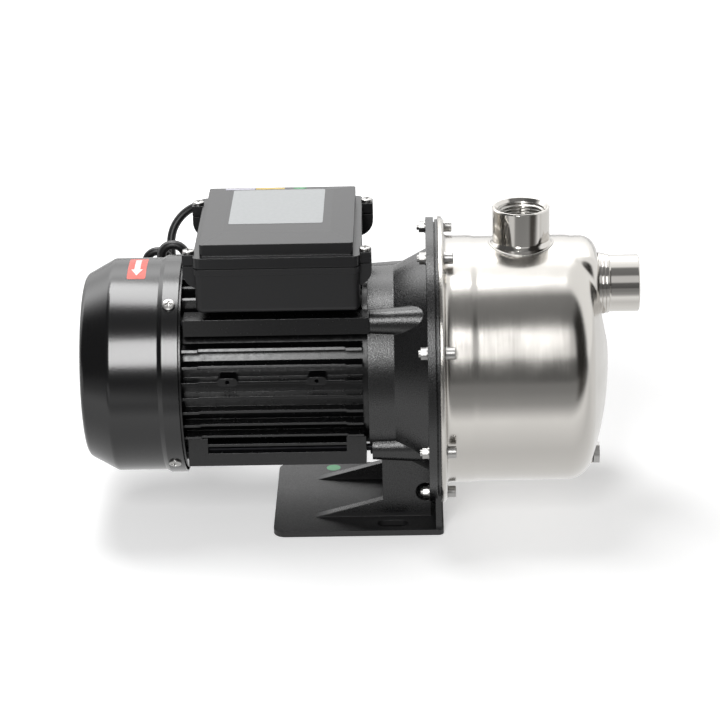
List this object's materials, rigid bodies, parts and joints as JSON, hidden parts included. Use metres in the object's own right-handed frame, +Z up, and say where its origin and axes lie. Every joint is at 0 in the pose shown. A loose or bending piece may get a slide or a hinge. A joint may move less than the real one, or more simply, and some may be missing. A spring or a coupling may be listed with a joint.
{
  "type": "booster pump",
  "caption": "Self-priming jet pump: round steel tank with threaded suction and discharge ports, bolted to a finned motor on a slotted foot.",
  "frame": {"origin": "centre of the two mounting slots, on the underside of the foot", "axes": "+Z up, along the discharge port; +X along the shaft towards the suction port; +Y to the side that carries the mains cord's gland"},
  "size_m": [0.3981, 0.2413, 0.2283],
  "materials": {
    "bracket_casting": "textured black powder coat",
    "motor_casting": "black paint over die-cast aluminium",
    "lamination_steel": "varnished laminations",
    "enamelled_copper": "varnished copper wire",
    "zinc_steel": "bright zinc plate",
    "rotor_metal": "turned",
    "ground_steel": "ground",
    "bearing_steel": "polished",
    "fan_plastic": "moulded",
    "cover_paint": "semi-gloss black paint on sheet steel",
    "box_plastic": "moulded matte black",
    "seal_rubber": "foam rubber",
    "lid_plastic": "smooth black plastic",
    "terminal_plastic": "moulded",
    "terminal_brass": "nickelled brass",
    "capacitor_can": "white plastic can",
    "gland_plastic": "moulded nylon",
    "cord_rubber": "smooth black sheath",
    "plug_rubber": "moulded",
    "pin_brass": "nickel-plated brass",
    "tank_steel": "satin stainless steel",
    "port_steel": "polished stainless steel",
    "ceramic": "sintered ceramic",
    "impeller_plastic": "moulded glass-filled plastic",
    "diffuser_plastic": "moulded plastic",
    "nozzle_brass": "turned brass"
  },
  "bodies": {
    "frame": {"motor_bracket": "bracket_casting", "stator_housing": "motor_casting", "stator_core": "lamination_steel", "stator_windings": "enamelled_copper", "rear_end_shield": "motor_casting", "tie_rods": "zinc_steel", "front_bearing_outer": "bearing_steel", "rear_bearing_outer": "bearing_steel", "fan_cover": "cover_paint", "fan_cover_screws": "zinc_steel", "terminal_box": "box_plastic", "box_screws": "zinc_steel", "lid_gasket": "seal_rubber", "terminal_box_lid": "lid_plastic", "lid_screws": "zinc_steel", "terminal_block": "terminal_plastic", "terminal_screws": "terminal_brass", "capacitor": "capacitor_can", "cable_gland": "gland_plastic", "gland_nut": "gland_plastic", "power_cord": "cord_rubber", "cord_hank": "cord_rubber", "cord_tail": "cord_rubber", "plug": "plug_rubber", "plug_pins": "pin_brass", "pump_casing": "tank_steel", "discharge_port": "port_steel", "suction_port": "port_steel", "drain_boss": "port_steel", "drain_plug": "zinc_steel", "drain_washer": "seal_rubber", "flange_bolts": "zinc_steel", "flange_nuts": "zinc_steel", "flange_washers": "zinc_steel", "seal_plate": "tank_steel", "seal_seat": "ceramic", "casing_o_ring": "seal_rubber", "diffuser": "diffuser_plastic", "ejector": "diffuser_plastic", "jet_nozzle": "nozzle_brass"},
    "rotor": {"shaft": "ground_steel", "rotor_core": "rotor_metal", "front_bearing_inner": "bearing_steel", "rear_bearing_inner": "bearing_steel", "cooling_fan": "fan_plastic", "impeller": "impeller_plastic", "impeller_nut": "ground_steel", "seal_rotor": "seal_rubber", "water_slinger": "seal_rubber"}
  },
  "joints": [
    {"name": "rotor_spin", "type": "hinge", "parent": "frame", "child": "rotor", "pos_m": [0, 0, 0.1125], "axis": [1, 0, 0], "continuous": true}
  ]
}
